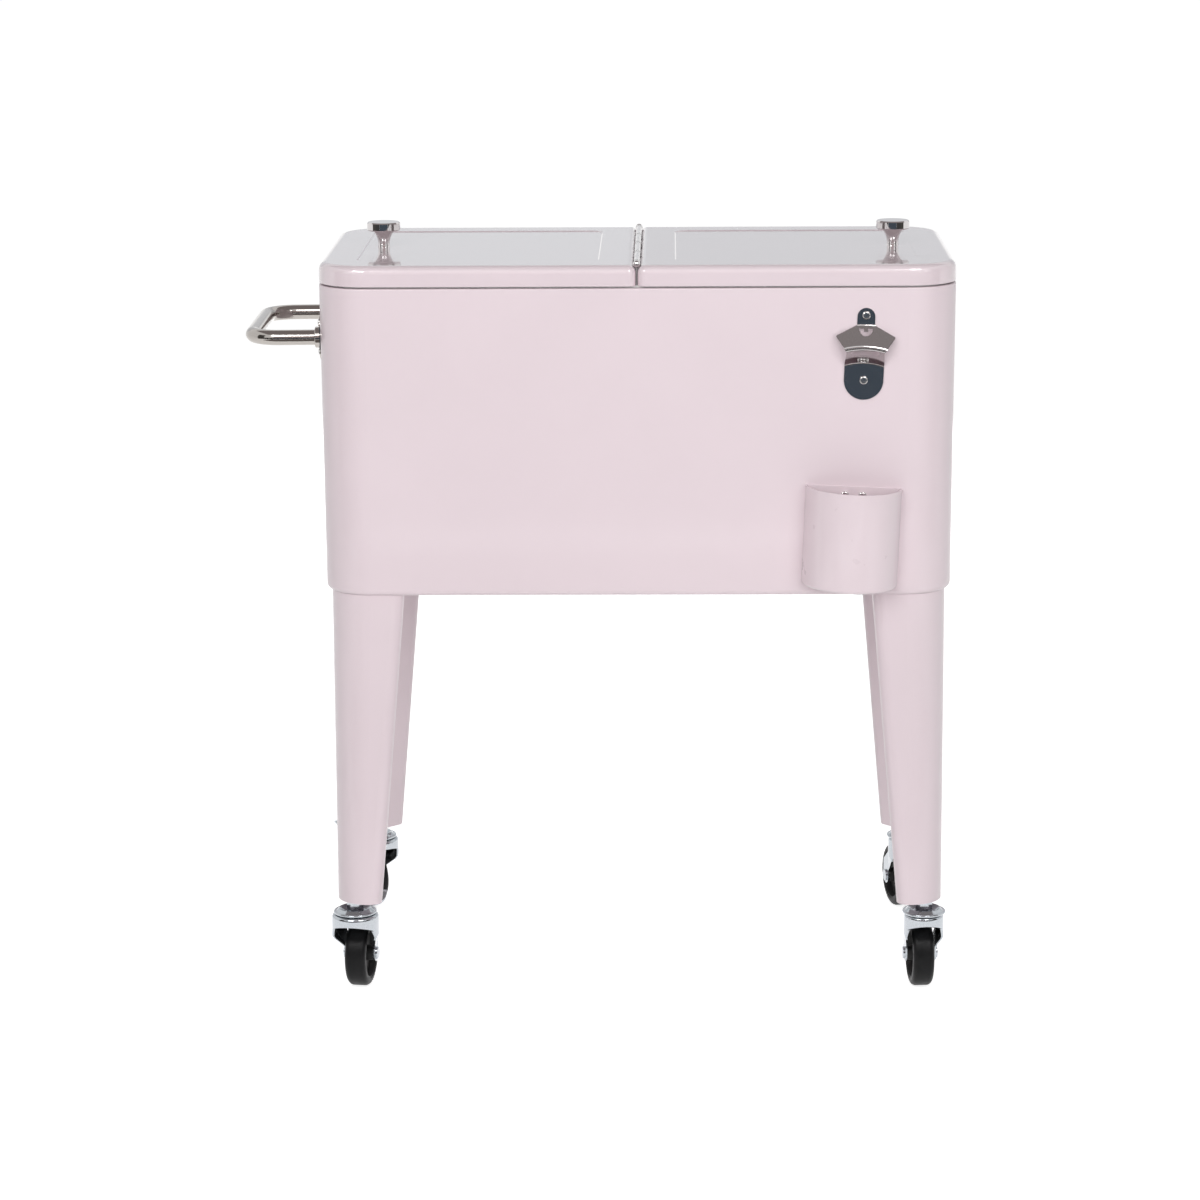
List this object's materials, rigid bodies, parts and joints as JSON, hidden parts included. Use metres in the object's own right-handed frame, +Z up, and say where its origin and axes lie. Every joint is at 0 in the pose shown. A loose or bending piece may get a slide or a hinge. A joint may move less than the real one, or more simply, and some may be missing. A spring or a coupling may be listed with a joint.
{
  "type": "rolling patio cooler",
  "caption": "Insulated steel tub cooler on legs with swivel casters, two lids on one centre hinge, tow handle, bottle opener and cap catcher.",
  "frame": {"origin": "floor point under the middle of the overall bounding box", "axes": "+Z up, -Y towards the front with the opener and the cap catcher, +X to the right when it is seen from the front, so the handle is at -X"},
  "size_m": [0.7326, 0.43, 0.7976],
  "materials": {
    "tub_paint": "gloss pale pink powder coat",
    "lid_paint": "gloss pale pink powder coat, pressed panel",
    "leg_paint": "gloss pale pink powder coat",
    "fitting_paint": "gloss pale pink powder coat",
    "foam": "rigid pale foam",
    "liner": "smooth white",
    "seal": "soft black",
    "drain_plastic": "plain white",
    "chrome": "bright polished",
    "stainless": "brushed",
    "screw_steel": "polished",
    "zinc_steel": "bright zinc plated",
    "wheel_black": "moulded black",
    "tyre_rubber": "smooth black tread"
  },
  "bodies": {
    "tub": {"outer_shell": "tub_paint", "base_panel": "tub_paint", "foam_insulation": "foam", "inner_liner": "liner", "drain_spout": "drain_plastic", "drain_gasket": "seal", "drain_nut": "drain_plastic", "hinge_crossbar": "liner", "crossbar_screws": "screw_steel", "hinge_pin": "stainless", "handle_tube": "chrome", "handle_flanges": "chrome", "handle_screws": "screw_steel", "bottle_opener": "stainless", "opener_screws": "screw_steel", "cap_catcher": "fitting_paint", "catcher_screws": "screw_steel", "leg_front_left": "leg_paint", "leg_front_right": "leg_paint", "leg_rear_left": "leg_paint", "leg_rear_right": "leg_paint", "leg_foot_plates": "leg_paint", "leg_bolts": "screw_steel", "caster_stems": "zinc_steel", "caster_stem_nuts": "zinc_steel", "caster_races": "zinc_steel", "caster_thrust_washers": "drain_plastic"},
    "left_lid": {"left_lid_skin": "lid_paint", "left_lid_foam": "foam", "left_lid_liner": "liner", "left_lid_gasket": "seal", "left_lid_knob": "chrome", "left_lid_knob_screw": "screw_steel", "left_hinge_leaf": "stainless"},
    "right_lid": {"right_lid_skin": "lid_paint", "right_lid_foam": "foam", "right_lid_liner": "liner", "right_lid_gasket": "seal", "right_lid_knob": "chrome", "right_lid_knob_screw": "screw_steel", "right_hinge_leaf": "stainless"},
    "drain_cap": {"drain_cap": "drain_plastic"},
    "front_left_fork": {"front_left_fork": "zinc_steel", "front_left_axle": "zinc_steel"},
    "front_left_wheel": {"front_left_wheel_hub": "wheel_black", "front_left_tyre": "tyre_rubber"},
    "front_left_brake": {"front_left_brake_pedal": "zinc_steel"},
    "front_right_fork": {"front_right_fork": "zinc_steel", "front_right_axle": "zinc_steel"},
    "front_right_wheel": {"front_right_wheel_hub": "wheel_black", "front_right_tyre": "tyre_rubber"},
    "rear_left_fork": {"rear_left_fork": "zinc_steel", "rear_left_axle": "zinc_steel"},
    "rear_left_wheel": {"rear_left_wheel_hub": "wheel_black", "rear_left_tyre": "tyre_rubber"},
    "rear_left_brake": {"rear_left_brake_pedal": "zinc_steel"},
    "rear_right_fork": {"rear_right_fork": "zinc_steel", "rear_right_axle": "zinc_steel"},
    "rear_right_wheel": {"rear_right_wheel_hub": "wheel_black", "rear_right_tyre": "tyre_rubber"}
  },
  "joints": [
    {"name": "left_lid_hinge", "type": "hinge", "parent": "tub", "child": "left_lid", "pos_m": [0.04131, 0.00398, 0.7724], "axis": [0, 1, 0], "range_deg": [0, 80]},
    {"name": "right_lid_hinge", "type": "hinge", "parent": "tub", "child": "right_lid", "pos_m": [0.04131, 0.00398, 0.7724], "axis": [0, -1, 0], "range_deg": [0, 80]},
    {"name": "front_left_swivel", "type": "hinge", "parent": "tub", "child": "front_left_fork", "pos_m": [-0.25749, -0.14183, 0.0859], "axis": [0, 0, 1], "continuous": true},
    {"name": "front_left_wheel_spin", "type": "hinge", "parent": "front_left_fork", "child": "front_left_wheel", "pos_m": [-0.25387, -0.11759, 0.035], "axis": [0.989, -0.1478, 0], "continuous": true},
    {"name": "front_left_brake", "type": "hinge", "parent": "front_left_fork", "child": "front_left_brake", "pos_m": [-0.25298, -0.11166, 0.0805], "axis": [-0.989, 0.1478, 0], "range_deg": [0, 12]},
    {"name": "front_right_swivel", "type": "hinge", "parent": "tub", "child": "front_right_fork", "pos_m": [0.34011, -0.14183, 0.0859], "axis": [0, 0, 1], "continuous": true},
    {"name": "front_right_wheel_spin", "type": "hinge", "parent": "front_right_fork", "child": "front_right_wheel", "pos_m": [0.33798, -0.11742, 0.035], "axis": [0.9962, 0.0872, 0], "continuous": true},
    {"name": "rear_left_swivel", "type": "hinge", "parent": "tub", "child": "rear_left_fork", "pos_m": [-0.25749, 0.14977, 0.0859], "axis": [0, 0, 1], "continuous": true},
    {"name": "rear_left_wheel_spin", "type": "hinge", "parent": "rear_left_fork", "child": "rear_left_wheel", "pos_m": [-0.27083, 0.17032, 0.035], "axis": [0.8387, 0.5446, 0], "continuous": true},
    {"name": "rear_left_brake", "type": "hinge", "parent": "rear_left_fork", "child": "rear_left_brake", "pos_m": [-0.2741, 0.17535, 0.0805], "axis": [-0.8387, -0.5446, 0], "range_deg": [0, 12]},
    {"name": "rear_right_swivel", "type": "hinge", "parent": "tub", "child": "rear_right_fork", "pos_m": [0.34011, 0.14977, 0.0859], "axis": [0, 0, 1], "continuous": true},
    {"name": "rear_right_wheel_spin", "type": "hinge", "parent": "rear_right_fork", "child": "rear_right_wheel", "pos_m": [0.33418, 0.17355, 0.035], "axis": [0.9703, 0.2419, 0], "continuous": true},
    {"name": "drain_cap_pull", "type": "slide", "parent": "tub", "child": "drain_cap", "axis": [0, 0, -1], "range_m": [0, 0.02]}
  ]
}
